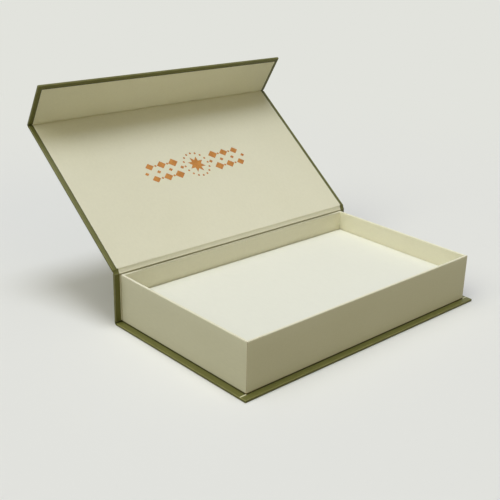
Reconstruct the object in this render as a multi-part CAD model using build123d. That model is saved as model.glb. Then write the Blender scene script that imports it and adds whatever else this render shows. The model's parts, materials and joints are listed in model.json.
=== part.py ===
from build123d import *

import os

# A book-style magnetic gift box, open as on a display table.
#
# A greyboard case of four boards (base, spine, lid and front flap) is wrapped outside in olive paper and
# lined inside in cream paper. A cream tray is glued to the base board, which stands out round it as a
# narrow ledge. The spine is glued to the tray's back wall. The lid folds about the gutter above the
# spine, and the flap folds about the gutter at the lid's far edge. Magnets let into the flap board meet
# steel discs let into the tray's front wall. A folded card platform makes a raised floor in the tray.
#
# Millimetres, +Z up. The long side runs along X, the flap side faces -Y. The origin is on the table under
# the centre of the tray. Every piece is built with the box closed, then the lid and flap are turned open.

# Tray, measured over its paper
tray_length = 300.0
tray_width = 177.0
tray_height = 48.0

# Sheet stock
board = 2.0
paper = 0.3
tape = 0.1
card = 1.0

# Case
ledge = 7.0  # how far the base board stands out beyond the tray at its sides and front
gutter = 4.0  # bare strip between two boards, where the case folds
lid_clearance = 1.8  # between the tray's rim and the closed lid
flap_clearance = 0.8  # between the tray's front and the closed flap
flap_foot_clearance = 1.0  # between the ledge and the closed flap's free edge
margin = 4.6  # olive border that shows round the cream lining
edge_round = 0.6
tray_edge_round = 0.5
turn_in = 15.0  # paper folded under the tray's floor

# Fold beads
bead_radius = 0.9
bead_clearance = 0.05

# Magnets and the steel discs they meet
magnet_radius = 6.0
magnet_depth = 1.5
disc_radius = 7.0
disc_depth = 1.0
magnet_spacing = 170.0
magnet_height = 26.0  # above the table, with the box closed

# Corner tapes
tape_reach = 18.0

# Raised floor
well_depth = 20.5  # from the tray's rim down to the platform
platform_clearance = 0.4
rib_spacing = 130.0
rib_width = 40.0
rib_end_gap = 12.0

# Pose in the photograph
lid_open_deg = 142.3  # from closed
flap_fold_deg = 82.8  # from lying flat with the lid; 90 is closed

# Worked out from the sizes above
panel = board + 2 * paper
half_gutter = gutter / 2
case_half_x = tray_length / 2 + ledge
rim_z = panel + tray_height
hinge_z = rim_z + lid_clearance + panel / 2
hinge_y = tray_width / 2 + panel / 2
flap_y = -(tray_width / 2 + flap_clearance + panel / 2)
base_front_y = -(tray_width / 2 + ledge)
wall = board + 2 * paper
well_x = tray_length / 2 - wall
well_y = tray_width / 2 - wall
floor_z = panel + paper + board
platform_z = rim_z - well_depth

lid_axis = Axis((0, hinge_y, hinge_z), (1, 0, 0))
flap_axis = Axis((0, flap_y, hinge_z), (1, 0, 0))


def block(x_range, y_range, z_range):
    """A box between two corners, each given as a low and a high value along one axis."""
    sizes = [high - low for low, high in (x_range, y_range, z_range)]
    centre = [(high + low) / 2 for low, high in (x_range, y_range, z_range)]
    return Pos(*centre) * Box(*sizes)


def both_ways(half):
    return (-half, half)


def rod(radius, y, z, half_length):
    """A cylinder along X."""
    return Pos(0, y, z) * Rot(0, 90, 0) * Cylinder(radius, 2 * half_length)


def disc(radius, x, y, z, depth):
    """A disc with its axis along Y, from y to y + depth."""
    return Pos(x, y + depth / 2, z) * Rot(90, 0, 0) * Cylinder(radius, depth)


def magnet_places():
    return [(side * magnet_spacing / 2, magnet_height) for side in (-1, 1)]


def one_solid(shape):
    """The single solid of a result that may come back as a list or a compound."""
    return shape.solids()[0]


def envelope(y_range, z_range):
    """A case panel over its paper, with softened edges."""
    body = block(both_ways(case_half_x), y_range, z_range)
    return fillet(body.edges(), edge_round)


def bead_with_leaf(axis_y, axis_z, leaf):
    """The half of a folded gutter that ends in a round bead on the fold's axis."""
    return one_solid(rod(bead_radius, axis_y, axis_z, case_half_x) + leaf)


def leaf_up_to_bead(axis_y, axis_z, leaf):
    """The other half of the gutter, ending just short of the bead."""
    return leaf - rod(bead_radius + bead_clearance, axis_y, axis_z, case_half_x)


# Case boards, closed

base_board_box = block(
    both_ways(case_half_x - paper),
    (base_front_y + paper, hinge_y - half_gutter),
    (paper, paper + board),
)
spine_board_box = block(
    both_ways(case_half_x - paper),
    (tray_width / 2 + paper, tray_width / 2 + paper + board),
    (panel / 2 + half_gutter, hinge_z - half_gutter),
)
lid_board_box = block(
    both_ways(case_half_x - paper),
    (flap_y + half_gutter, hinge_y - half_gutter),
    (hinge_z - board / 2, hinge_z + board / 2),
)
flap_foot_z = panel + flap_foot_clearance
flap_board_box = block(
    both_ways(case_half_x - paper),
    (flap_y - board / 2, flap_y + board / 2),
    (flap_foot_z + paper, hinge_z - half_gutter),
)


# Base: wrap with a turned-in border under the tray, and the glue sheet that holds the tray

def base_wrap():
    shell = envelope((base_front_y, hinge_y - half_gutter + paper), (0, panel))
    return one_solid(shell - base_board_box - glue_sheet())


def glue_sheet():
    return block(
        both_ways(tray_length / 2 - turn_in),
        both_ways(tray_width / 2 - turn_in),
        (paper + board, panel + paper),
    )


# Spine: wrap with the quarter-round fold that joins it to the base, lining and fold bead

spine_foot_z = panel / 2 + half_gutter - paper
spine_head_z = hinge_z - half_gutter + paper
spine_inner_y = tray_width / 2
spine_outer_y = spine_inner_y + panel


def spine_shell():
    return envelope((spine_inner_y, spine_outer_y), (spine_foot_z, spine_head_z))


def spine_lining():
    strip = block(
        both_ways(case_half_x - margin),
        (spine_inner_y, spine_inner_y + paper),
        (spine_foot_z, spine_head_z),
    )
    return one_solid(strip & spine_shell())


def lower_fold():
    """A quarter ring of paper from under the base board to the spine's outer face."""
    fold_y = hinge_y - half_gutter + paper
    radius = spine_outer_y - fold_y
    ring = rod(radius, fold_y, radius, case_half_x - edge_round)
    ring -= rod(radius - paper, fold_y, radius, case_half_x)
    corner = block(both_ways(case_half_x), (fold_y, spine_outer_y), (0, radius))
    return ring & corner


def spine_wrap():
    """The olive skin of the spine, with the lower fold's paper running up its outer face."""
    radius = spine_outer_y - (hinge_y - half_gutter + paper)
    bridge = block(
        both_ways(case_half_x - edge_round),
        (spine_outer_y - paper, spine_outer_y),
        (radius, spine_foot_z + edge_round + paper),
    )
    skin = spine_shell() + lower_fold() + bridge
    return one_solid(skin - spine_board_box - spine_lining())


def lid_hinge_strip():
    leaf = block(
        both_ways(case_half_x - edge_round),
        (hinge_y - paper, hinge_y + paper),
        (spine_head_z, hinge_z),
    )
    return bead_with_leaf(hinge_y, hinge_z, leaf)


# Lid: wrap, lining and the fold bead that carries the flap

lid_front_y = flap_y + half_gutter - paper
lid_back_y = hinge_y - half_gutter + paper
lid_inner_z = hinge_z - panel / 2
lid_outer_z = hinge_z + panel / 2


def lid_shell():
    return envelope((lid_front_y, lid_back_y), (lid_inner_z, lid_outer_z))


def lid_lining():
    sheet = block(
        both_ways(case_half_x - margin),
        (lid_front_y, lid_back_y),
        (lid_inner_z, lid_inner_z + paper),
    )
    return one_solid(sheet & lid_shell())


def lid_wrap():
    skin = one_solid(lid_shell() - lid_board_box - lid_lining())
    leaf = block(
        both_ways(case_half_x - edge_round),
        (lid_back_y, hinge_y),
        (hinge_z - paper, hinge_z + paper),
    )
    return one_solid(skin + leaf_up_to_bead(hinge_y, hinge_z, leaf))


def flap_hinge_strip():
    leaf = block(
        both_ways(case_half_x - edge_round),
        (flap_y, lid_front_y),
        (hinge_z - paper, hinge_z + paper),
    )
    return bead_with_leaf(flap_y, hinge_z, leaf)


# Flap: board with magnet pockets, wrap, lining and magnets

flap_head_z = hinge_z - half_gutter + paper
flap_outer_y = flap_y - panel / 2
flap_inner_y = flap_y + panel / 2


def flap_shell():
    return envelope((flap_outer_y, flap_inner_y), (flap_foot_z, flap_head_z))


def flap_magnets():
    face_y = flap_y + board / 2
    discs = [
        disc(magnet_radius, x, face_y - magnet_depth, z, magnet_depth)
        for x, z in magnet_places()
    ]
    return Compound(children=discs)


def flap_board():
    pierced = flap_board_box
    for magnet in flap_magnets().solids():
        pierced = pierced - magnet
    return one_solid(pierced)


def flap_lining():
    sheet = block(
        both_ways(case_half_x - margin),
        (flap_inner_y - paper, flap_inner_y),
        (flap_foot_z + margin, flap_head_z),
    )
    return one_solid(sheet & flap_shell())


def flap_wrap():
    skin = one_solid(flap_shell() - flap_board_box - flap_lining())
    leaf = block(
        both_ways(case_half_x - edge_round),
        (flap_y - paper, flap_y + paper),
        (flap_head_z, hinge_z),
    )
    return one_solid(skin + leaf_up_to_bead(flap_y, hinge_z, leaf))


# Tray: five boards, corner tapes, wrap, floor lining and steel discs

tray_board_x = tray_length / 2 - paper
tray_board_y = tray_width / 2 - paper
tray_foot_z = panel + paper
tray_head_z = rim_z - paper
wall_heights = (tray_foot_z, tray_head_z)


def tray_discs():
    discs = [
        disc(disc_radius, x, -tray_board_y, z, disc_depth) for x, z in magnet_places()
    ]
    return Compound(children=discs)


def tray_front_board():
    plain = block(both_ways(tray_board_x), (-tray_board_y, board - tray_board_y), wall_heights)
    for steel in tray_discs().solids():
        plain = plain - steel
    return one_solid(plain)


def tray_back_board():
    return block(both_ways(tray_board_x), (tray_board_y - board, tray_board_y), wall_heights)


def tray_side_board(side):
    inner, outer = tray_board_x - board, tray_board_x
    x_range = (inner, outer) if side > 0 else (-outer, -inner)
    return block(x_range, both_ways(tray_board_y - board), wall_heights)


def tray_floor_board():
    return block(
        both_ways(tray_board_x - board),
        both_ways(tray_board_y - board),
        (tray_foot_z, tray_foot_z + board),
    )


def corner_tapes():
    """Four angled strips of tape, one round the outside of each corner of the boards."""
    outside = block(
        both_ways(tray_board_x + tape), both_ways(tray_board_y + tape), wall_heights
    )
    boards = block(both_ways(tray_board_x), both_ways(tray_board_y), wall_heights)
    band = outside - boards
    pieces = []
    for x_side in (-1, 1):
        for y_side in (-1, 1):
            corner = Pos(x_side * tray_length / 2, y_side * tray_width / 2, rim_z / 2)
            reach = corner * Box(2 * tape_reach, 2 * tape_reach, 2 * rim_z)
            pieces.append(one_solid(band & reach))
    return Compound(children=pieces)


def tray_wrap():
    """Outer skin, folded over the rim and down the inside, and under the floor's border."""
    body = block(both_ways(tray_length / 2), both_ways(tray_width / 2), (panel, rim_z))
    skin = fillet(body.edges().filter_by(Axis.Z), tray_edge_round)
    boards = block(both_ways(tray_board_x), both_ways(tray_board_y), wall_heights)
    inner_paper = block(
        both_ways(tray_board_x - board), both_ways(tray_board_y - board), (floor_z, rim_z)
    )
    well = block(both_ways(well_x), both_ways(well_y), (floor_z, rim_z))
    skin = skin - boards + (inner_paper - well) - well
    for strip in corner_tapes().solids():
        skin = skin - strip
    return one_solid(skin - glue_sheet())


def tray_floor_lining():
    return block(both_ways(well_x), both_ways(well_y), (floor_z, floor_z + paper))


# Raised floor: a folded card platform and the two ribs that hold it up

platform_x = well_x - platform_clearance
platform_y = well_y - platform_clearance
platform_foot_z = floor_z + paper


def insert_platform():
    shell = block(
        both_ways(platform_x), both_ways(platform_y), (platform_foot_z, platform_z)
    )
    shell = fillet(shell.edges().group_by(Axis.Z)[-1], edge_round)
    hollow = block(
        both_ways(platform_x - card),
        both_ways(platform_y - card),
        (platform_foot_z, platform_z - card),
    )
    return one_solid(shell - hollow)


def insert_ribs():
    """Two folded channels across the tray, standing on its floor under the platform."""
    ribs = []
    half_run = platform_y - card - rib_end_gap
    for side in (-1, 1):
        centre = side * rib_spacing / 2
        outer_x = (centre - rib_width / 2, centre + rib_width / 2)
        inner_x = (outer_x[0] + card, outer_x[1] - card)
        outside = block(outer_x, both_ways(half_run), (platform_foot_z, platform_z - card))
        inside = block(
            inner_x, both_ways(half_run), (platform_foot_z, platform_z - 2 * card)
        )
        ribs.append(one_solid(outside - inside))
    return Compound(children=ribs)


# Posing and writing

def open_lid(shape):
    return shape.rotate(lid_axis, -lid_open_deg)


def open_flap(shape):
    return open_lid(shape.rotate(flap_axis, flap_fold_deg - 90))


fixed_nodes = {
    "base_board": base_board_box,
    "base_wrap": base_wrap(),
    "tray_glue_sheet": glue_sheet(),
    "spine_board": spine_board_box,
    "spine_wrap": spine_wrap(),
    "spine_lining": spine_lining(),
    "lid_hinge_strip": lid_hinge_strip(),
    "tray_floor_board": tray_floor_board(),
    "tray_front_board": tray_front_board(),
    "tray_back_board": tray_back_board(),
    "tray_left_board": tray_side_board(-1),
    "tray_right_board": tray_side_board(1),
    "tray_corner_tapes": corner_tapes(),
    "tray_wrap": tray_wrap(),
    "tray_floor_lining": tray_floor_lining(),
    "tray_steel_discs": tray_discs(),
    "insert_platform": insert_platform(),
    "insert_ribs": insert_ribs(),
}
lid_nodes = {
    "lid_board": lid_board_box,
    "lid_wrap": lid_wrap(),
    "lid_lining": lid_lining(),
    "flap_hinge_strip": flap_hinge_strip(),
}
flap_nodes = {
    "flap_board": flap_board(),
    "flap_wrap": flap_wrap(),
    "flap_lining": flap_lining(),
    "flap_magnets": flap_magnets(),
}

os.makedirs("parts", exist_ok=True)
posed = dict(fixed_nodes)
posed.update({name: open_lid(shape) for name, shape in lid_nodes.items()})
posed.update({name: open_flap(shape) for name, shape in flap_nodes.items()})
for name, shape in posed.items():
    export_step(shape, f"parts/{name}.step")
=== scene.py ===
import json
import math

import bmesh
import bpy
from mathutils import Matrix, Vector, noise

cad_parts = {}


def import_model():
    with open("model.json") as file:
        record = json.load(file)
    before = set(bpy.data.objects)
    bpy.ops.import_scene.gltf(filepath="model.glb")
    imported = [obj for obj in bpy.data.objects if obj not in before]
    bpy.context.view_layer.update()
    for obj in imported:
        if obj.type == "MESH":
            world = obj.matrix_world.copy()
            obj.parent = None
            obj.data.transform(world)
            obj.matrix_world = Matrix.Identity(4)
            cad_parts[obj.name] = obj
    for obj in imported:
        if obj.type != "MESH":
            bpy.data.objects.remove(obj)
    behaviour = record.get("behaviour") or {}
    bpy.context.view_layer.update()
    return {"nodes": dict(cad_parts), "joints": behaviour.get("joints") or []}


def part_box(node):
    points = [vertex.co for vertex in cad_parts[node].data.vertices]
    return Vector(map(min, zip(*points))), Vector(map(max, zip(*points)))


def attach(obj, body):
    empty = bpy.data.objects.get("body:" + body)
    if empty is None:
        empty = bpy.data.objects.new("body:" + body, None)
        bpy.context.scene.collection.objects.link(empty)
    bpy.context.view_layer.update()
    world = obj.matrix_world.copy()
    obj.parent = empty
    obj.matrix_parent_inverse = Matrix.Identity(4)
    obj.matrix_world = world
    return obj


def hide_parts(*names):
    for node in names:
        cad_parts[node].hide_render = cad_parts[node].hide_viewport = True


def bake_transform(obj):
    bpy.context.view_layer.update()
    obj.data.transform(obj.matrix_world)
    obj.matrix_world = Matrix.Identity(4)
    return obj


# A book-style magnetic gift box, open on a pale studio floor.
#
# The paper-covered case, its linings, the two paper folds, the tray's skin and the raised floor are
# modelled here in place of their plain solids. Everything is in metres, in the frame's own axes: +X along
# the long side, -Y towards the flap side, +Z up.

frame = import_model()

MM = 0.001

# Stock
PAPER = 0.3 * MM
PANEL = 2.6 * MM  # board with a paper on each face
HALF_GUTTER = 2.0 * MM
MARGIN = 4.6 * MM  # olive border round the linings
LINING_PROUD = 0.12 * MM  # how far a pasted lining stands above the border
EDGE_ROUND = 0.75 * MM
SHADE_REACH = 1.1 * MM  # reach of the painted shade along the edges of what is pasted on a panel
MESH_STEP = 12 * MM  # spacing of the edges across a panel or a ribbon

# Unevenness of the pasted boards
BOW_HEIGHT = 0.12 * MM
BOW_WAVES_X = 7  # waves per metre
BOW_WAVES_V = 9
BOW_FLAT = 2 * MM  # up to here from a board's end there is none
BOW_FULL = 16 * MM  # and from here on it is full
BASE_SEED = 1.0
SPINE_SEED = 2.0
LID_SEED = 3.0
FLAP_SEED = 4.0
CARD_SEED = 6.0

# Camera, from the photograph's straight edges
FRAME_PX = 500
FOCAL_PX = 890.7
CENTRE_PX = (285.0, 257.7)
VIEW_AZIMUTH = math.radians(-44.76)
VIEW_ELEVATION = math.radians(21.81)
VIEW_ROLL = math.radians(2.348)
VIEW_OFFSET = (-14.77 * MM, 53.6 * MM)
VIEW_DISTANCE = 885.8 * MM
SENSOR = 36.0

# Places read off the frame
hinges = {joint["name"]: joint for joint in frame["joints"]}
lid_pivot = Vector(hinges["lid_hinge"]["pos_m"])
flap_pivot = Vector(hinges["flap_hinge"]["pos_m"])
flap_fold = -math.radians(hinges["flap_hinge"]["range_deg"][0])
lid_run = flap_pivot - lid_pivot
lid_angle = math.atan2(lid_run.z, lid_run.y)
lid_length = lid_run.length
tray_low, tray_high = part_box("tray_wrap")
base_low, base_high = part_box("base_wrap")
platform_low, platform_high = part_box("insert_platform")
case_half_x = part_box("lid_wrap")[1].x
lining_half_x = case_half_x - MARGIN
X_AXIS = Vector((1, 0, 0))


class Sheet:
    """A panel's own frame: x across, v along the panel and n out of its lined face."""

    def __init__(self, origin, angle):
        self.origin = Vector(origin)
        self.along = Vector((0, math.cos(angle), math.sin(angle)))
        self.inward = Vector((0, -math.sin(angle), math.cos(angle)))

    def place(self, x, v, n):
        """A point in the frame's axes."""
        return self.origin + X_AXIS * x + self.along * v + self.inward * n

    def reach(self, node):
        """The least and greatest v of a solid's corners."""
        spots = [(c.co - self.origin).dot(self.along) for c in frame["nodes"][node].data.vertices]
        return min(spots), max(spots)


base_sheet = Sheet((0, 0, PANEL / 2), 0)
spine_sheet = Sheet((0, lid_pivot.y, 0), math.pi / 2)
lid_sheet = Sheet(lid_pivot, lid_angle)
flap_sheet = Sheet(flap_pivot, lid_angle + flap_fold)

# Ends of the panels, each in its own v
SPINE_HEAD = lid_pivot.z - HALF_GUTTER + PAPER
SPINE_FOOT = PANEL / 2 + HALF_GUTTER - PAPER
SPINE_FACE = 1.05 * MM  # just off the board, so that a dark gap shows behind the tray
LID_START = HALF_GUTTER - PAPER
LID_END = lid_length - HALF_GUTTER + PAPER
FLAP_START = HALF_GUTTER - PAPER
FLAP_END = flap_sheet.reach("flap_wrap")[1]
GUTTER_LAP = HALF_GUTTER - PAPER + EDGE_ROUND  # where a lining ends and the fold's paper begins
SPINE_LINING_HALF_X = 151.0 * MM


# Materials

# Sockets of a mix node in its colour mode, whose names are the same in its other modes
MIX_FACTOR, MIX_FIRST, MIX_SECOND = 0, 6, 7
MIX_RESULT = 2

# Noise scales, in waves per metre
CLOUD_SCALE = 9.0
SCUFF_SCALE = 55.0
FOIL_CLOUD_SCALE = 160.0
FIBRE_SCALE = 420.0
TURNING_SCALE = 900.0
SHEEN_SCALE = 1500.0
TOOTH_SCALE = 2600.0


class Nodes:
    """Adds and connects the nodes of one shader tree. A value is a fixed one or another node's output."""

    def __init__(self, tree):
        self.tree = tree

    def add(self, kind, **settings):
        node = self.tree.nodes.new(kind)
        for key, value in settings.items():
            setattr(node, key, value)
        return node

    def feed(self, target, value):
        """Links an output to an input socket, or sets the socket's own value."""
        if isinstance(value, bpy.types.NodeSocket):
            self.tree.links.new(value, target)
        else:
            target.default_value = value

    def give(self, **values):
        """Feeds the Principled shader's inputs, named with underscores for spaces."""
        shader = self.tree.nodes["Principled BSDF"]
        for key, value in values.items():
            self.feed(shader.inputs[key.replace("_", " ")], value)

    def noise(self, scale, detail, stretch=(1, 1, 1), roughness=0.55):
        """Noise in object space, stretched along the axes where asked."""
        place = self.add("ShaderNodeTexCoord")
        mapping = self.add("ShaderNodeMapping")
        self.feed(mapping.inputs["Vector"], place.outputs["Object"])
        self.feed(mapping.inputs["Scale"], stretch)
        texture = self.add("ShaderNodeTexNoise")
        self.feed(texture.inputs["Vector"], mapping.outputs["Vector"])
        self.feed(texture.inputs["Scale"], scale)
        self.feed(texture.inputs["Detail"], detail)
        self.feed(texture.inputs["Roughness"], roughness)
        return texture.outputs["Fac"]

    def ramp(self, value, stops):
        """A colour ramp through (position, grey or colour) stops."""
        node = self.add("ShaderNodeValToRGB")
        while len(node.color_ramp.elements) < len(stops):
            node.color_ramp.elements.new(0.5)
        for element, (position, colour) in zip(node.color_ramp.elements, stops):
            element.position = position
            element.color = grey(colour) if isinstance(colour, float) else colour
        self.feed(node.inputs["Fac"], value)
        return node.outputs["Color"]

    def mix(self, factor, first, second, blend="MIX"):
        """A mix of two colours."""
        node = self.add("ShaderNodeMix", data_type="RGBA", blend_type=blend)
        self.feed(node.inputs[MIX_FACTOR], factor)
        self.feed(node.inputs[MIX_FIRST], first)
        self.feed(node.inputs[MIX_SECOND], second)
        return node.outputs[MIX_RESULT]

    def maths(self, operation, first, second):
        """The result of an operation on two values."""
        node = self.add("ShaderNodeMath", operation=operation)
        self.feed(node.inputs[0], first)
        self.feed(node.inputs[1], second)
        return node.outputs["Value"]

    def mask(self, name):
        """A mesh attribute as a value."""
        return self.add("ShaderNodeAttribute", attribute_name=name).outputs["Fac"]

    def bump(self, height, strength, distance, below=None):
        """A bumped normal, on top of the one below where there is one."""
        node = self.add("ShaderNodeBump")
        self.feed(node.inputs["Height"], height)
        self.feed(node.inputs["Strength"], strength)
        self.feed(node.inputs["Distance"], distance)
        if below:
            self.feed(node.inputs["Normal"], below)
        return node.outputs["Normal"]

    def either_shader(self, factor, first, second):
        """The first shader at a factor of 0, the second at 1."""
        node = self.add("ShaderNodeMixShader")
        self.feed(node.inputs[0], factor)
        self.feed(node.inputs[1], first)
        self.feed(node.inputs[2], second)
        return node.outputs["Shader"]

    def seen_directly(self):
        """1 for the rays that show a surface itself: camera, glossy and transmission rays."""
        rays = self.add("ShaderNodeLightPath").outputs
        seen = self.maths("MAXIMUM", rays["Is Camera Ray"], rays["Is Glossy Ray"])
        return self.maths("MAXIMUM", seen, rays["Is Transmission Ray"])


def new_material(name):
    """A material and the helper for its nodes."""
    material = bpy.data.materials.new(name)
    material.use_nodes = True
    return material, Nodes(material.node_tree)


def grey(value):
    return (value, value, value, 1.0)


def srgb(red, green, blue):
    """A linear colour from its 0 to 255 sRGB values."""

    def linear(value):
        value /= 255
        return value / 12.92 if value <= 0.04045 else ((value + 0.055) / 1.055) ** 2.4

    return (linear(red), linear(green), linear(blue), 1.0)


def paper_material(name, base, deep, bright, edge, shade, rough, grain, gloss, wear_and_highlight):
    """Coated paper: fibre mottling, a fine grain, pale edges that are partly rubbed wear and partly
    painted highlight, and painted shade in creases.
    """
    material, m = new_material(name)
    cloud = m.noise(CLOUD_SCALE, detail=5.0)
    fibre = m.noise(FIBRE_SCALE, detail=6.0, stretch=(1.0, 0.35, 1.0))
    tooth = m.noise(TOOTH_SCALE, detail=3.0)
    tone = m.ramp(cloud, [(0.3, deep), (0.52, base), (0.75, bright)])
    fleck = m.ramp(fibre, [(0.35, 1.0 - 0.05 * grain), (0.65, 1.0)])
    body = m.mix(1.0, tone, fleck, "MULTIPLY")
    scuff = m.ramp(m.noise(SCUFF_SCALE, detail=6.0), [(0.35, 0.25), (0.65, 1.0)])
    # rubbed wear on edges and rims, partly a painted highlight along the rounded edges
    rubbed_and_highlit = m.maths("MULTIPLY", m.maths("MULTIPLY", m.mask("edge_wear_and_highlight"), scuff), wear_and_highlight)
    worn_and_highlit = m.mix(rubbed_and_highlit, body, edge)
    coarse = m.bump(fibre, strength=0.2 * grain, distance=0.1 * MM)
    # the crease_shade mask mixes in painted shade
    m.give(
        Base_Color=m.mix(m.mask("crease_shade"), worn_and_highlit, shade),
        Roughness=m.ramp(cloud, [(0.2, rough + 0.06), (0.8, rough - 0.05)]),
        Specular_IOR_Level=gloss,
        Normal=m.bump(tooth, strength=0.25 * grain, distance=0.05 * MM, below=coarse),
    )
    return material


def foil_material():
    """Hot-stamped copper foil, a little broken by the paper's tooth."""
    material, m = new_material("copper_foil")
    cloud = m.noise(FOIL_CLOUD_SCALE, detail=5.0)
    sheen = m.noise(SHEEN_SCALE, detail=3.0)
    tooth = m.noise(TOOTH_SCALE, detail=3.0)
    m.give(
        Base_Color=m.ramp(cloud, [(0.3, srgb(178, 112, 42)), (0.7, srgb(206, 142, 66))]),
        Metallic=0.4,
        Roughness=m.ramp(sheen, [(0.3, 0.36), (0.7, 0.52)]),
        Normal=m.bump(tooth, strength=0.2, distance=0.04 * MM),
    )
    return material


def board_material(name, low, high, scale):
    """Raw board or tape: speckled, fibrous and matte."""
    material, m = new_material(name)
    speck = m.noise(scale, detail=8.0, stretch=(1.0, 1.0, 0.5), roughness=0.7)
    m.give(
        Base_Color=m.ramp(speck, [(0.3, low), (0.7, high)]),
        Roughness=0.9,
        Normal=m.bump(speck, strength=0.4, distance=0.1 * MM),
    )
    return material


def metal_material(name, colour, rough):
    """Plated metal with fine turning marks."""
    material, m = new_material(name)
    marks = m.noise(TURNING_SCALE, detail=4.0, stretch=(1.0, 1.0, 6.0))
    m.give(
        Base_Color=m.ramp(marks, [(0.3, colour), (0.8, grey(0.75))]),
        Metallic=1.0,
        Roughness=m.ramp(marks, [(0.3, rough), (0.7, rough + 0.12)]),
    )
    return material


olive_paper = paper_material(
    "olive_paper",
    base=srgb(107, 107, 54),
    deep=srgb(102, 102, 50),
    bright=srgb(112, 112, 59),
    # edge: pale of rubbed edges, brightened into a painted highlight; shade: the painted shade colour
    edge=srgb(222, 214, 142),
    shade=srgb(46, 45, 22),
    rough=0.42,
    grain=1.0,
    gloss=0.3,
    wear_and_highlight=0.9,
)
cream_paper = paper_material(
    "cream_paper",
    base=srgb(235, 232, 208),
    deep=srgb(233, 230, 205),
    bright=srgb(237, 234, 211),
    # edge: pale of the rubbed rim, partly a painted highlight; shade: colour of the painted contact
    # shadow
    edge=srgb(246, 244, 230),
    shade=srgb(128, 120, 78),
    rough=0.55,
    grain=0.45,
    gloss=0.2,
    wear_and_highlight=0.6,
)
white_card = paper_material(
    "white_card",
    base=srgb(235, 235, 222),
    deep=srgb(234, 234, 221),
    bright=srgb(236, 236, 224),
    # edge: pale of rubbed edges, partly a painted highlight; shade: the painted shade colour
    edge=srgb(243, 243, 234),
    shade=srgb(150, 146, 112),
    rough=0.5,
    grain=0.3,
    gloss=0.2,
    wear_and_highlight=0.5,
)
paper_core = board_material("paper_core", srgb(206, 202, 160), srgb(232, 229, 196), scale=900.0)
copper_foil = foil_material()
greyboard = board_material("greyboard", srgb(120, 114, 102), srgb(166, 160, 148), scale=700.0)
kraft_tape = board_material("kraft_tape", srgb(150, 118, 74), srgb(184, 152, 104), scale=500.0)
dried_glue = board_material("dried_glue", srgb(196, 178, 130), srgb(214, 200, 160), scale=60.0)
tin_steel = metal_material("tin_steel", grey(0.5), rough=0.3)
nickel = metal_material("nickel", grey(0.42), rough=0.24)


# Mesh helpers


def smooth_step(low, high, value):
    """0 up to low and 1 from high on, with a smooth rise between them."""
    t = min(1.0, max(0.0, (value - low) / (high - low)))
    return t * t * (3 - 2 * t)


def bow(x, v, seed, span=None):
    """The slight unevenness of a pasted board, as a height out of its face.

    It dies away towards both ends of span, so that the papers of a fold meet their panels flat.
    """
    height = BOW_HEIGHT * noise.noise(Vector((x * BOW_WAVES_X, v * BOW_WAVES_V, seed)))
    if span:
        height *= smooth_step(BOW_FLAT, BOW_FULL, min(v - span[0], span[1] - v))
    return height


def finish_mesh(name, mesh, material, wear_and_highlight=None, smooth_angle=40, painted_shade=None):
    """Turns a bmesh into an object with its material, its mask of wear and painted highlight, its painted
    shade mask and smooth faces.
    """
    data = bpy.data.meshes.new(name)
    bmesh.ops.recalc_face_normals(mesh, faces=mesh.faces[:])
    mesh.to_mesh(data)
    mesh.free()
    for mask_name, values in (("edge_wear_and_highlight", wear_and_highlight), ("crease_shade", painted_shade)):
        mask = data.attributes.new(mask_name, "FLOAT", "POINT")
        if values:
            mask.data.foreach_set("value", values)
    piece = bpy.data.objects.new(name, data)
    bpy.context.scene.collection.objects.link(piece)
    data.materials.append(material)
    data.set_sharp_from_angle(angle=math.radians(smooth_angle))
    for polygon in data.polygons:
        polygon.use_smooth = True
    return piece


def cut_across(mesh, axis, spots):
    """Adds a loop of edges at each place along one local axis."""
    for spot in spots:
        place = Vector((0, 0, 0))
        place[axis] = spot
        normal = Vector((0, 0, 0))
        normal[axis] = 1
        everything = mesh.verts[:] + mesh.edges[:] + mesh.faces[:]
        bmesh.ops.bisect_plane(mesh, geom=everything, plane_co=place, plane_no=normal)


def spread(low, high, count):
    """Evenly spaced places strictly inside a range."""
    return [low + (high - low) * (i + 1) / (count + 1) for i in range(count)]


def join_rings(mesh, near, far):
    """Faces between two closed rings of the same number of corners."""
    for i in range(len(near)):
        k = (i + 1) % len(near)
        mesh.faces.new((near[i], near[k], far[k], far[i]))


def rounded_block(lows, highs, radius, segments):
    """A bmesh block between two corners, with rounded edges."""
    mesh = bmesh.new()
    size = [high - low for low, high in zip(lows, highs)]
    centre = [(high + low) / 2 for low, high in zip(lows, highs)]
    bmesh.ops.create_cube(mesh, size=1.0)
    bmesh.ops.scale(mesh, vec=size, verts=mesh.verts)
    bmesh.ops.translate(mesh, vec=centre, verts=mesh.verts)
    bmesh.ops.bevel(
        mesh, geom=mesh.edges[:], offset=radius, segments=segments, profile=0.5, affect="EDGES"
    )
    return mesh


def wear_and_highlight_of(mesh, lows, highs, radius):
    """Wear and painted highlight per corner: strongest on the crown of each rounded edge, 0 before the
    flat faces begin.
    """
    fall = 1.6
    values = []
    for vert in mesh.verts:
        depths = sorted(
            min(vert.co[i] - lows[i], highs[i] - vert.co[i]) / radius for i in range(3)
        )
        values.append(max(0.0, 1.0 - depths[1] * fall))
    return values


def arc(centre, radius, start, end, count):
    """Points (y, z) along an arc between two angles in degrees."""
    angles = [math.radians(start + (end - start) * i / count) for i in range(count + 1)]
    return [(centre[0] + radius * math.cos(a), centre[1] + radius * math.sin(a)) for a in angles]


def curve(first, control, last, count):
    """Points (y, z) of a curve from first to last, pulled towards its control point."""
    path = []
    for i in range(count + 1):
        t = i / count
        a, b, c = (1 - t) ** 2, 2 * t * (1 - t), t * t
        path.append(tuple(a * p + b * q + c * r for p, q, r in zip(first, control, last)))
    return path


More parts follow.
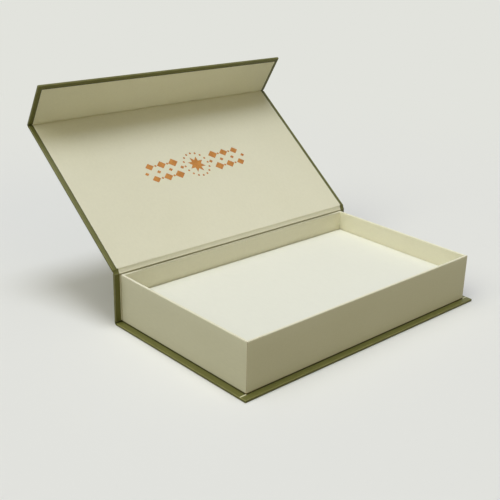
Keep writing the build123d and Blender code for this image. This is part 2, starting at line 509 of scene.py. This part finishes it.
def ribbon(name, path, thickness, spans, material):
    """Strips of paper along X, over each (low, high) span, whose section follows (y, z) points."""
    points = [Vector(spot) for spot in path]
    sides = []
    for i, point in enumerate(points):
        before = points[max(0, i - 1)]
        after = points[min(len(points) - 1, i + 1)]
        along = (after - before).normalized()
        sides.append((point, Vector((-along.y, along.x))))
    outline = [p + side * thickness / 2 for p, side in sides]
    outline += [p - side * thickness / 2 for p, side in reversed(sides)]
    mesh = bmesh.new()
    last = len(outline) - 1
    for low, high in spans:
        stations = max(2, int((high - low) / MESH_STEP))
        spots = [low + (high - low) * i / stations for i in range(stations + 1)]
        rings = [[mesh.verts.new((x, p.x, p.y)) for p in outline] for x in spots]
        for near, far in zip(rings, rings[1:]):
            join_rings(mesh, near, far)
        for ring in (rings[0], rings[-1]):
            for i in range(len(points) - 1):
                k = last - i
                mesh.faces.new((ring[i], ring[i + 1], ring[k - 1], ring[k]))
    return finish_mesh(name, mesh, material, smooth_angle=50)


def in_plane(sheet, v, n):
    """A (y, z) point given in a panel's own frame."""
    spot = sheet.place(0, v, n)
    return (spot.y, spot.z)


# Case panels


def painted_shade_at(x, v, half_x, ends):
    """Painted shade round a pasted sheet: 1 along its edge, and 0 before the next loop of edges."""
    off_edge = max(abs(x) - half_x, ends[0] - v, v - ends[1])
    return 1.0 - min(1.0, abs(off_edge) / (0.9 * SHADE_REACH))


def wrapped_panel(name, sheet, v_low, v_high, seed, face=PANEL / 2, shade_around=None):
    """A case panel: board in paper, with soft folded edges and a slightly uneven face.

    Where something is pasted on it, the panel is given that sheet's half length and its (low, high) in v,
    and painted shade darkens the panel along that edge.
    """
    lows = (-case_half_x, v_low, -PANEL / 2)
    highs = (case_half_x, v_high, face)
    mesh = rounded_block(lows, highs, EDGE_ROUND, segments=5)
    rows = max(3, int((v_high - v_low) / MESH_STEP))
    cut_across(mesh, 0, spread(-case_half_x, case_half_x, count=24))
    cut_across(mesh, 1, spread(v_low, v_high, count=rows))
    if shade_around:
        shaded_x, shaded_v = shade_around
        steps = (-SHADE_REACH, 0.0, SHADE_REACH)
        cut_across(mesh, 0, [side * shaded_x + step for side in (-1, 1) for step in steps])
        cut_across(mesh, 1, [edge + step for edge in shaded_v for step in steps])
    wear_and_highlight = wear_and_highlight_of(mesh, lows, highs, EDGE_ROUND)
    painted_shade = []
    for vert in mesh.verts:
        x, v, n = vert.co
        on_lined_side = n > 0
        # painted shade along the pasted sheet's edge, on the lined face
        painted_shade.append(painted_shade_at(x, v, *shade_around) if shade_around and on_lined_side else 0.0)
        if on_lined_side:
            n += bow(x, v, seed, (v_low, v_high))
        vert.co = sheet.place(x, v, n)
    return finish_mesh(name, mesh, olive_paper, wear_and_highlight, painted_shade=painted_shade)


def case_base():
    v_low, v_high = base_low.y, base_high.y
    # painted shade on the base round the tray's foot
    around_tray = (tray_high.x, (tray_low.y, tray_high.y))
    piece = wrapped_panel("case_base", base_sheet, v_low, v_high, BASE_SEED, shade_around=around_tray)
    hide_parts("base_wrap")
    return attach(piece, "box")


def corner_seams():
    """The lapped paper edges at the base's two front corners, rubbed pale along the fold."""
    mesh = bmesh.new()
    top = base_high.z
    seam_y = tray_low.y
    width = 0.6 * MM
    section = [(-width, 0.0), (-0.3 * width, 0.22 * MM), (0.5 * width, 0.16 * MM), (width, 0.0)]
    root_depth = 0.5 * MM
    for side in (-1, 1):
        inner = side * (tray_high.x + 0.2 * MM)
        outer = side * case_half_x
        on_face = outer - side * 0.02 * MM
        # Each station has its x, its height from the ledge and its share of the section's height
        stations = [
            (inner, 0.0, 1.0),
            (outer - side * 0.7 * MM, 0.0, 1.0),
            (outer - side * 0.2 * MM, -0.3 * MM, 0.6),
            (on_face, -0.9 * MM, 0.2),
            (on_face, -1.9 * MM, 0.2),
        ]
        rings = []
        for x, fall, height in stations:
            ring = [mesh.verts.new((x, seam_y + y, top + fall + z * height)) for y, z in section]
            ring.append(mesh.verts.new((x - side * root_depth, seam_y, top + fall - root_depth)))
            rings.append(ring)
        for near, far in zip(rings, rings[1:]):
            join_rings(mesh, near, far)
        mesh.faces.new(rings[0])
        mesh.faces.new(rings[-1])
    piece = finish_mesh("base_corner_seams", mesh, paper_core)
    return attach(piece, "box")


def case_spine():
    piece = wrapped_panel("case_spine", spine_sheet, SPINE_FOOT, SPINE_HEAD, SPINE_SEED, face=SPINE_FACE)
    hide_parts("spine_wrap")
    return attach(piece, "box")


def base_fold():
    """The rounded lower fold, from under the base up to the spine's outer face."""
    outer = lid_pivot.y + PANEL / 2
    fold_y = base_high.y
    radius = outer - fold_y
    half = PAPER / 2
    under_base = 2 * MM
    up_spine = 2.2 * MM
    half_x = case_half_x - 0.3 * MM
    path = [(fold_y - under_base, half)]
    path += arc((fold_y, radius), radius - half, -90, 0, 10)
    path += [(outer - half, radius + up_spine)]
    piece = ribbon("base_fold", path, PAPER, ((-half_x, half_x),), olive_paper)
    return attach(piece, "box")


def case_lid():
    # painted shade round the lining
    around_lining = (lining_half_x, (-SHADE_REACH, lid_length + SHADE_REACH))
    piece = wrapped_panel("case_lid", lid_sheet, LID_START, LID_END, LID_SEED, shade_around=around_lining)
    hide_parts("lid_wrap")
    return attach(piece, "lid")


def case_flap():
    # painted shade round the lining
    around_lining = (lining_half_x, (-SHADE_REACH, FLAP_END - MARGIN))
    piece = wrapped_panel("case_flap", flap_sheet, FLAP_START, FLAP_END, FLAP_SEED, shade_around=around_lining)
    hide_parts("flap_wrap")
    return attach(piece, "flap")


# Linings

TURN_IN = 15.0 * MM
TURN_IN_STEP = 0.06 * MM  # height of the step where the wrap's turned-in paper ends below the lining
STEP_REACH = 1.2 * MM  # spacing of the mesh at that step and next to the edges
LINING_LIP = 0.18 * MM  # rounding of a lining's cut edge
LIP_SHARE = 0.35  # of its height that a lining has at the very edge
LINING_ROOT = 0.02 * MM  # how far a lining's underside lies in its panel
RIM_CONTACT = 0.2 * MM  # height of the painted contact shadow above the tray's rim
# reach and darkness of that painted shadow, and the painted shade over the whole lining
CONTACT_REACH = 1.2 * MM
CONTACT_DARK = 0.9
CONTACT_LINING_SHADE = 0.16


def lining_rows(low, high, count):
    """Places across a lining between its cut edges: dense at each edge and at each turned-in step."""
    near, far = low + TURN_IN, high - TURN_IN
    steps = (-STEP_REACH, 0, STEP_REACH)
    rows = [low, low + LINING_LIP, low + STEP_REACH]
    rows += [near + step for step in steps]
    rows += spread(near + STEP_REACH, far - STEP_REACH, count)
    rows += [far + step for step in steps]
    return rows + [high - STEP_REACH, high - LINING_LIP, high]


def narrow_rows(low, high, count):
    """The same for a lining too narrow to show the steps."""
    rows = [low, low + LINING_LIP, low + STEP_REACH]
    rows += spread(low + STEP_REACH, high - STEP_REACH, count)
    return rows + [high - STEP_REACH, high - LINING_LIP, high]


def close_sheet(mesh, upper, lower):
    """Faces over an upper and a lower grid of corners, and round their edges."""
    rows, columns = len(upper), len(upper[0])
    for j in range(rows - 1):
        for i in range(columns - 1):
            mesh.faces.new((upper[j][i], upper[j][i + 1], upper[j + 1][i + 1], upper[j + 1][i]))
            mesh.faces.new((lower[j][i], lower[j + 1][i], lower[j + 1][i + 1], lower[j][i + 1]))
    for j in range(rows - 1):
        for i in (0, columns - 1):
            mesh.faces.new((upper[j][i], upper[j + 1][i], lower[j + 1][i], lower[j][i]))
    for i in range(columns - 1):
        for j in (0, rows - 1):
            mesh.faces.new((upper[j][i], upper[j][i + 1], lower[j][i + 1], lower[j][i]))


def lining(name, sheet, half_x, ends, span, seed, open_edges=(), face=PANEL / 2, contact=None):
    """A pasted sheet between two ends in v, on a panel that spans a little more.

    It is thin, and the turned-in paper below it shows as a faint step. Where it touches the tray's rim,
    at the v of contact, it has a painted contact shadow, and painted shade darkens it a little all over.
    """
    v_low, v_high = ends
    xs = lining_rows(-half_x, half_x, 20)
    wide = v_high - v_low > 3 * TURN_IN
    vs = lining_rows(v_low, v_high, 10) if wide else narrow_rows(v_low, v_high, 4)
    if contact:
        vs += [contact - CONTACT_REACH, contact, contact + CONTACT_REACH]
    vs = sorted(vs)

    def top(x, v):
        """Height of the sheet's face above the panel's middle."""
        depths = [half_x - abs(x)]
        if "low" not in open_edges:
            depths.append(v - v_low)
        if "high" not in open_edges:
            depths.append(v_high - v)
        depth = min(depths)
        raised = TURN_IN_STEP * (1 - smooth_step(TURN_IN - 2 * STEP_REACH, TURN_IN + STEP_REACH, depth))
        rounded = LINING_PROUD * min(1.0, LIP_SHARE + depth / LINING_LIP)
        return face + rounded + raised + bow(x, v, seed, span)

    mesh = bmesh.new()
    upper = [[mesh.verts.new(sheet.place(x, v, top(x, v))) for x in xs] for v in vs]
    lower = [[mesh.verts.new(sheet.place(x, v, face - LINING_ROOT)) for x in xs] for v in vs]
    close_sheet(mesh, upper, lower)
    painted_shade = None
    if contact:
        # painted contact shadow along the rim, over painted shade on the whole lining
        near = [1.0 - min(1.0, abs(v - contact) / CONTACT_REACH) for v in vs]
        painted_shade = [max(CONTACT_LINING_SHADE, CONTACT_DARK * share) for share in near for x in xs] * 2
    return finish_mesh(name, mesh, cream_paper, smooth_angle=60, painted_shade=painted_shade)


def lid_lining():
    ends = (GUTTER_LAP, lid_length - GUTTER_LAP)
    span = (LID_START, LID_END)
    piece = lining(
        "lid_paper_lining", lid_sheet, lining_half_x, ends, span, LID_SEED, open_edges=("low", "high")
    )
    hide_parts("lid_lining")
    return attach(piece, "lid")


def flap_lining():
    ends = (GUTTER_LAP, FLAP_END - MARGIN)
    span = (FLAP_START, FLAP_END)
    piece = lining(
        "flap_paper_lining", flap_sheet, lining_half_x, ends, span, FLAP_SEED, open_edges=("low",)
    )
    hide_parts("flap_lining")
    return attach(piece, "flap")


def spine_lining():
    ends = (SPINE_FOOT + 1 * MM, lid_pivot.z - GUTTER_LAP)
    span = (SPINE_FOOT, SPINE_HEAD)
    piece = lining(
        "spine_paper_lining", spine_sheet, SPINE_LINING_HALF_X, ends, span, SPINE_SEED,
        open_edges=("high",), face=SPINE_FACE, contact=tray_high.z + RIM_CONTACT,
    )
    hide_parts("spine_lining")
    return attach(piece, "box")


# Folds at the hinges

LINING_SHEET = 0.3 * MM
FOLD_SHEET = 0.35 * MM
FOLD_SUNK = 0.04 * MM  # how far the olive paper lies below a board's face
FOLD_DROP = 0.62 * MM  # how far the paper turns down at each board's edge, on the lined side
OUTSIDE_DROP = -0.3 * MM  # the same outside, where the gutter lies the other way
FOLD_INSET = 0.2 * MM  # from the case's ends
END_LAP = 3 * MM  # how far the olive ends reach in past the border


def rounded_turn(first, corner, last):
    """Points (y, z) of a soft turn near a corner, on the way from first to last."""
    near = tuple(0.5 * a + 0.5 * b for a, b in zip(first, corner))
    far = tuple(0.35 * a + 0.65 * b for a, b in zip(last, corner))
    return curve(near, corner, far, 5)


def through(first, middle, last):
    """A smooth curve of (y, z) points that passes through its middle point."""
    control = tuple(2 * m - (a + b) / 2 for a, m, b in zip(first, middle, last))
    return curve(first, control, last, 10)


class Fold:
    """The gutter between two panels: what lies before the pivot and what lies after. Its bodies are not
    used.
    """

    def __init__(self, pivot, angle_before, angle_after, bodies):
        self.before = Sheet(pivot, angle_before)
        self.after = Sheet(pivot, angle_after)
        self.bodies = bodies
        halfway = (angle_before + angle_after) / 2
        self.middle_sheet = Sheet(pivot, halfway)

    def strip(self, name, near_n, far_n, drop, middle_n, thickness, spans, material):
        """Paper over the gutter, for each (low, high) span of x.

        It lies at near_n and far_n on the two panels, turns down by drop at each board's edge, and
        crosses the gutter at middle_n from the pivot.
        """
        edge = HALF_GUTTER - PAPER
        outer_v = edge + 1.4 * EDGE_ROUND
        shoulder_v = edge + 0.55 * EDGE_ROUND
        foot_v = edge - 0.15 * MM
        start = in_plane(self.before, -outer_v, near_n)
        shoulder = in_plane(self.before, -shoulder_v, near_n)
        foot = in_plane(self.before, -foot_v, near_n - drop)
        middle = in_plane(self.middle_sheet, 0, middle_n)
        far_foot = in_plane(self.after, foot_v, far_n - drop)
        far_shoulder = in_plane(self.after, shoulder_v, far_n)
        end = in_plane(self.after, outer_v, far_n)
        down = rounded_turn(start, shoulder, foot)
        up = rounded_turn(far_foot, far_shoulder, end)
        path = [start] + down + through(foot, middle, far_foot) + up + [end]
        piece = ribbon(name, path, thickness, spans, material)
        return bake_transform(piece)

    def papers(self, name, node, near_face, outside_n, ends_n, lining_n, lining_span):
        """Olive paper outside, the same paper turned in at the fold's ends, and the cream lining.

        near_face is the lined face of the panel before the pivot, and the three n values are where each
        paper crosses the gutter.
        """
        sunk = FOLD_SUNK + FOLD_SHEET / 2
        lined = LINING_PROUD - LINING_SHEET / 2
        olive_x = case_half_x - FOLD_INSET
        bare_x = lining_half_x - END_LAP
        piece = self.strip(
            name + "_outside",
            near_n=-PANEL / 2 + sunk,
            far_n=-PANEL / 2 + sunk,
            drop=OUTSIDE_DROP,
            middle_n=outside_n,
            thickness=FOLD_SHEET,
            spans=((-olive_x, olive_x),),
            material=olive_paper,
        )
        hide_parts(node)
        self.strip(
            name + "_ends",
            near_n=near_face - sunk,
            far_n=PANEL / 2 - sunk,
            drop=FOLD_DROP,
            middle_n=ends_n,
            thickness=FOLD_SHEET,
            spans=((-olive_x, -bare_x), (bare_x, olive_x)),
            material=olive_paper,
        )
        self.strip(
            name + "_lining",
            near_n=near_face + lined,
            far_n=PANEL / 2 + lined,
            drop=FOLD_DROP,
            middle_n=lining_n,
            thickness=LINING_SHEET,
            spans=(lining_span,),
            material=cream_paper,
        )


def folds():
    """The papers of the lid's fold and of the flap's."""
    Fold(lid_pivot, math.pi / 2, lid_angle, ("box", "lid")).papers(
        "lid_fold",
        "lid_hinge_strip",
        near_face=SPINE_FACE,
        outside_n=-0.75 * MM,
        ends_n=-0.6 * MM,
        lining_n=-0.3 * MM,
        lining_span=(-SPINE_LINING_HALF_X, SPINE_LINING_HALF_X),
    )
    Fold(flap_pivot, lid_angle, lid_angle + flap_fold, ("lid", "flap")).papers(
        "flap_fold",
        "flap_hinge_strip",
        near_face=PANEL / 2,
        outside_n=-0.68 * MM,
        ends_n=0.35 * MM,
        lining_n=0.75 * MM,
        lining_span=(-lining_half_x, lining_half_x),
    )


# Tray skin

TRAY_WALL = 2.6 * MM
TRAY_CORNER = 0.9 * MM
INNER_CORNER = 0.12 * MM
RIM_ROUND = 1.0 * MM
TRAY_SINK = 0.25 * MM  # how far the middle of each wall is drawn in
FOOT_DARK = 1.3 * MM  # how far up the painted shade at the tray's foot reaches
FOOT_GAP = 0.55 * MM  # the skin stops short of the base, and the raw board shows in the slit
FOOT_EDGE = 0.29 * MM  # width of the skin's lower edge
# the rim's wear, partly a painted highlight; painted shade on the rim next to the spine; painted contact
# shadow at the foot
RIM_WEAR_AND_HIGHLIGHT = 0.5
REAR_RIM_SHADE = 0.5
FOOT_SHADE = 0.9


def ring_points(half_x, half_y, radius, arc_count=4, side_count=14):
    """A rounded rectangle's corners and evenly spaced side points, going round once."""
    corners = []
    for sx, sy, start in ((1, 1, 0), (-1, 1, 90), (-1, -1, 180), (1, -1, 270)):
        centre = (sx * (half_x - radius), sy * (half_y - radius))
        corners.append(arc(centre, radius, start, start + 90, arc_count))
    points = []
    for corner, following in zip(corners, corners[1:] + corners[:1]):
        points += corner
        here, there = corner[-1], following[0]
        for i in range(1, side_count + 1):
            t = i / (side_count + 1)
            points.append(tuple(a + (b - a) * t for a, b in zip(here, there)))
    return points


def skin_rows():
    """The (inset, z) of each ring: up the outside from the foot, over the rim and down the inside."""
    foot = tray_low.z
    edge = foot + FOOT_GAP
    rim = tray_high.z
    turn = rim - RIM_ROUND
    rows = [(FOOT_EDGE, edge), (0.1 * MM, edge), (0.0, edge + 0.15 * MM)]
    rows += [(0.0, foot + FOOT_DARK), (0.0, foot + 8 * MM), (0.0, rim - 12 * MM), (0.0, turn)]
    rows += [(RIM_ROUND - y, turn + z) for y, z in arc((0, 0), RIM_ROUND, 0, 90, 5)][1:]
    rows += [(TRAY_WALL - RIM_ROUND + y, turn + z) for y, z in arc((0, 0), RIM_ROUND, 90, 0, 5)]
    rows += [(TRAY_WALL, rim - 12 * MM), (TRAY_WALL, foot + TRAY_WALL)]
    return rows


def drawn_in(x, y, z, inset):
    """Moves a point on the middle of a wall slightly towards the tray's centre."""
    half_x, half_y = tray_high.x, tray_high.y
    clear = 4 * MM  # of the corners
    on_line = 0.001 * MM
    depth = TRAY_SINK * math.sin(math.pi * (z - tray_low.z) / (tray_high.z - tray_low.z))
    long_side = abs(abs(y) - (half_y - inset)) < on_line
    short_side = abs(abs(x) - (half_x - inset)) < on_line
    if long_side and abs(x) < half_x - clear:
        y -= math.copysign(depth * math.cos(math.pi * x / (2 * half_x)), y)
    if short_side and abs(y) < half_y - clear:
        x -= math.copysign(depth * math.cos(math.pi * y / (2 * half_y)), x)
    return x, y


def skin_masks(x, y, z, inset):
    """Wear and painted highlight on the rim and the outer corners, and painted shade at the foot and on
    the rim next to the spine.
    """
    half_x, half_y = tray_high.x, tray_high.y
    near_corner = abs(x) > half_x - TRAY_CORNER and abs(y) > half_y - TRAY_CORNER
    on_rim = z > tray_high.z - 0.5 * RIM_ROUND and min(inset, TRAY_WALL - inset) < 0.6 * RIM_ROUND
    at_back = y > half_y - TRAY_WALL and abs(x) < half_x - TRAY_WALL
    worn_and_highlit = (on_rim and not at_back) or (near_corner and inset < 0.1 * MM)
    shaded_rim = at_back and z > tray_high.z - RIM_ROUND and inset < TRAY_WALL - 0.1 * MM
    at_foot = z < tray_low.z + 0.9 * FOOT_DARK
    return RIM_WEAR_AND_HIGHLIGHT * worn_and_highlit, REAR_RIM_SHADE if shaded_rim else FOOT_SHADE * at_foot


def tray_skin():
    """The tray's paper: outer walls, rounded rim and inner walls down to the floor."""
    mesh = bmesh.new()
    rings = []
    wear_and_highlight = []
    painted_shade = []
    for inset, z in skin_rows():
        radius = max(INNER_CORNER, TRAY_CORNER - inset)
        ring = []
        for corner_x, corner_y in ring_points(tray_high.x - inset, tray_high.y - inset, radius):
            x, y = drawn_in(corner_x, corner_y, z, inset)
            ring.append(mesh.verts.new((x, y, z)))
            worn_and_highlit, shaded = skin_masks(x, y, z, inset)
            wear_and_highlight.append(worn_and_highlit)
            painted_shade.append(shaded)
        rings.append(ring)
    for near, above in zip(rings, rings[1:] + rings[:1]):
        join_rings(mesh, near, above)
    piece = finish_mesh("tray_skin", mesh, cream_paper, wear_and_highlight, painted_shade=painted_shade)
    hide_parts("tray_wrap")
    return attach(piece, "box")


# Raised floor

CARD_ROUND = 1.0 * MM
CARD_SAG = 0.5 * MM
BACK_GAP = 0.8 * MM


def platform():
    """The folded card floor: a crisp soft-edged top with its skirts down to the tray's floor."""
    lows = tuple(platform_low)
    highs = (platform_high.x, platform_high.y - BACK_GAP, platform_high.z)
    mesh = rounded_block(lows, highs, CARD_ROUND, segments=4)
    cut_across(mesh, 0, spread(lows[0], highs[0], count=18))
    cut_across(mesh, 1, spread(lows[1], highs[1], count=12))
    wear_and_highlight = wear_and_highlight_of(mesh, lows, highs, CARD_ROUND)
    middle_z = (lows[2] + highs[2]) / 2
    for vert in mesh.verts:
        if vert.co.z > middle_z:
            edge_x = 1 - abs(vert.co.x) / highs[0]
            edge_y = 1 - abs(vert.co.y) / highs[1]
            sag = CARD_SAG * smooth_step(0, 0.5, edge_x) * smooth_step(0, 0.5, edge_y)
            vert.co.z -= sag - bow(vert.co.x, vert.co.y, CARD_SEED)
    piece = finish_mesh("platform_card", mesh, white_card, wear_and_highlight)
    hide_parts("insert_platform")
    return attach(piece, "insert")


# Foil ornament on the lid's lining

ORNAMENT_V = 96.0 * MM
ORNAMENT_X = 1.0 * MM
FOIL = 0.06 * MM
STAR_OUTER = 10.5 * MM
STAR_INNER = 5.6 * MM
DOT = 1.25 * MM
DOTS = 16  # in the ring
RING = 15.0 * MM
ROW = 8.0 * MM  # of the two rows of lozenges, from the middle
PITCH = 15.0 * MM
LOZENGES = 3  # in each row, on each side
LOZENGE = 6.2 * MM
LOZENGE_SHRINK = 0.5 * MM  # from each lozenge to the next
FIRST_LOZENGE = 27.0 * MM
SMALL_LOZENGES = 4  # on each side, between the rows
SMALL_LOZENGE = 2.6 * MM
FIRST_SMALL = 19.5 * MM


def star_outline(points, outer, inner, turn=0.0):
    """A star's corners, starting at a point."""
    outline = []
    for i in range(2 * points):
        radius = outer if i % 2 == 0 else inner
        a = turn + math.pi * i / points
        outline.append((radius * math.cos(a), radius * math.sin(a)))
    return outline


def lozenge_outline(size):
    """A lozenge's corners, a little wider than high."""
    height = 0.85 * size
    return [(size, 0), (0, height), (-size, 0), (0, -height)]


def foil_shape(mesh, outline, cx, cv):
    """A flat stamped shape, a hair above the lining."""
    height = PANEL / 2 + LINING_PROUD + FOIL
    base = []
    top = []
    for x, v in outline:
        spot_x, spot_v = ORNAMENT_X + cx + x, ORNAMENT_V + cv + v
        lift = bow(spot_x, spot_v, LID_SEED, (LID_START, LID_END))
        base.append(mesh.verts.new(lid_sheet.place(spot_x, spot_v, height - FOIL * 2 + lift)))
        top.append(mesh.verts.new(lid_sheet.place(spot_x, spot_v, height + lift)))
    mesh.faces.new(top)
    mesh.faces.new(list(reversed(base)))
    join_rings(mesh, base, top)


def ornament():
    """An eight-point star in a ring of dots, with rows of lozenges and dots on each side."""
    mesh = bmesh.new()
    foil_shape(mesh, star_outline(8, STAR_OUTER, STAR_INNER, math.pi / 8), 0, 0)
    dot = star_outline(8, DOT, 0.96 * DOT)
    for i in range(DOTS):
        a = math.tau * i / DOTS
        foil_shape(mesh, dot, RING * math.cos(a), RING * math.sin(a))
    for side in (-1, 1):
        for row in (-1, 1):
            for step in range(LOZENGES):
                centre = side * (FIRST_LOZENGE + PITCH * step)
                foil_shape(mesh, lozenge_outline(LOZENGE - LOZENGE_SHRINK * step), centre, row * ROW)
                if step < LOZENGES - 1:
                    foil_shape(mesh, dot, centre + side * PITCH / 2, row * ROW)
        for step in range(SMALL_LOZENGES):
            foil_shape(mesh, lozenge_outline(SMALL_LOZENGE), side * (FIRST_SMALL + PITCH * step), 0)
    piece = finish_mesh("foil_ornament", mesh, copper_foil, smooth_angle=30)
    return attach(piece, "lid")


# Solids that keep their own shape

CARRIED = (
    (
        greyboard,
        (
            "base_board", "spine_board", "lid_board", "flap_board", "tray_floor_board",
            "tray_front_board", "tray_back_board", "tray_left_board", "tray_right_board",
        ),
    ),
    (kraft_tape, ("tray_corner_tapes",)),
    (dried_glue, ("tray_glue_sheet",)),
    (cream_paper, ("tray_floor_lining",)),
    (white_card, ("insert_ribs",)),
    (tin_steel, ("tray_steel_discs",)),
    (nickel, ("flap_magnets",)),
)


def dress_solids():
    for material, names in CARRIED:
        for name in names:
            data = frame["nodes"][name].data
            data.materials.clear()
            data.materials.append(material)


# Stage

FLOOR_HALF = 8.0
FLOOR_COLOUR = srgb(236, 236, 232)
FLOOR_BOUNCE = srgb(150, 148, 128)  # what the floor throws back on the box
BACKDROP_COLOUR = srgb(226, 227, 221)
FADE_START = 0.35  # distance from the box where the floor begins to turn into backdrop
FADE_END = 1.1
SKY = 0.1


def floor_material():
    """Matte and pale near the box, and fading to plain backdrop further off."""
    material, m = new_material("studio_floor")
    seen = m.seen_directly()
    m.give(
        Base_Color=m.mix(seen, FLOOR_BOUNCE, FLOOR_COLOUR),
        Roughness=0.9,
        Specular_IOR_Level=0.1,
    )
    glow = m.add("ShaderNodeEmission")
    m.feed(glow.inputs["Color"], BACKDROP_COLOUR)
    m.feed(glow.inputs["Strength"], 1.0)
    reach = m.add("ShaderNodeVectorMath", operation="LENGTH")
    m.feed(reach.inputs[0], m.add("ShaderNodeTexCoord").outputs["Object"])
    fade = m.add("ShaderNodeMapRange", interpolation_type="SMOOTHSTEP")
    m.feed(fade.inputs["Value"], reach.outputs["Value"])
    m.feed(fade.inputs["From Min"], FADE_START)
    m.feed(fade.inputs["From Max"], FADE_END)
    share = m.maths("MULTIPLY", fade.outputs["Result"], seen)
    nodes = material.node_tree.nodes
    shader = nodes["Principled BSDF"].outputs["BSDF"]
    surface = m.either_shader(share, shader, glow.outputs["Emission"])
    m.feed(nodes["Material Output"].inputs["Surface"], surface)
    return material


def floor():
    """A wide floor, which keeps the box's shadow."""
    mesh = bmesh.new()
    half = FLOOR_HALF
    corners = [(-half, -half, 0), (half, -half, 0), (half, half, 0), (-half, half, 0)]
    mesh.faces.new([mesh.verts.new(c) for c in corners])
    piece = finish_mesh("studio_floor", mesh, floor_material())


def world():
    """Soft sky light on the object, with the same pale backdrop behind it."""
    scene_world = bpy.data.worlds.new("studio")
    bpy.context.scene.world = scene_world
    scene_world.use_nodes = True
    nodes = scene_world.node_tree.nodes
    w = Nodes(scene_world.node_tree)
    sky = nodes["Background"]
    w.feed(sky.inputs["Color"], grey(1.0))
    w.feed(sky.inputs["Strength"], SKY)
    backdrop = w.add("ShaderNodeBackground")
    w.feed(backdrop.inputs["Color"], BACKDROP_COLOUR)
    w.feed(backdrop.inputs["Strength"], 1.0)
    surface = w.either_shader(
        w.seen_directly(), sky.outputs["Background"], backdrop.outputs["Background"]
    )
    w.feed(nodes["World Output"].inputs["Surface"], surface)


def sun(name, azimuth, elevation, strength, width, colour):
    """A far lamp of a given apparent width. Azimuth counts from +X towards +Y. Angles are in degrees."""
    data = bpy.data.lights.new(name, "SUN")
    data.energy = strength
    data.color = colour
    data.angle = math.radians(width)
    piece = bpy.data.objects.new(name, data)
    a, e = math.radians(azimuth), math.radians(elevation)
    towards = Vector((math.cos(a) * math.cos(e), math.sin(a) * math.cos(e), math.sin(e)))
    piece.rotation_mode = "QUATERNION"
    piece.rotation_quaternion = (-towards).to_track_quat("-Z", "Y")
    bpy.context.scene.collection.objects.link(piece)


def lights():
    sun("overhead", azimuth=0, elevation=85, strength=1.36, width=28, colour=(0.86, 0.90, 1.0))
    sun("behind", azimuth=135, elevation=68, strength=0.58, width=40, colour=(1.0, 0.97, 0.97))
    sun("left", azimuth=180, elevation=45, strength=0.96, width=40, colour=(1.0, 1.0, 0.84))
    sun("front", azimuth=270, elevation=20, strength=0.32, width=40, colour=(1.0, 0.86, 0.45))


def camera():
    """The photograph's viewpoint."""
    back = Vector(
        (
            math.sin(VIEW_AZIMUTH) * math.cos(VIEW_ELEVATION),
            -math.cos(VIEW_AZIMUTH) * math.cos(VIEW_ELEVATION),
            math.sin(VIEW_ELEVATION),
        )
    )
    level_right = Vector((0, 0, 1)).cross(back).normalized()
    level_up = back.cross(level_right)
    right = level_right * math.cos(VIEW_ROLL) + level_up * math.sin(VIEW_ROLL)
    up = level_up * math.cos(VIEW_ROLL) - level_right * math.sin(VIEW_ROLL)
    data = bpy.data.cameras.new("camera")
    data.sensor_width = SENSOR
    data.lens = FOCAL_PX * SENSOR / FRAME_PX
    data.shift_x = -(CENTRE_PX[0] - FRAME_PX / 2) / FRAME_PX
    data.shift_y = (CENTRE_PX[1] - FRAME_PX / 2) / FRAME_PX
    piece = bpy.data.objects.new("camera", data)
    place = right * VIEW_OFFSET[0] + up * VIEW_OFFSET[1] + back * VIEW_DISTANCE
    axes = Matrix((right, up, back)).transposed()
    piece.matrix_world = Matrix.Translation(place) @ axes.to_4x4()
    bpy.context.scene.collection.objects.link(piece)
    bpy.context.scene.camera = piece


camera()
lights()
world()
floor()
case_base()
corner_seams()
case_spine()
base_fold()
case_lid()
case_flap()
lid_lining()
flap_lining()
spine_lining()
folds()
tray_skin()
platform()
ornament()
dress_solids()
bpy.context.scene.view_settings.view_transform = "Standard"
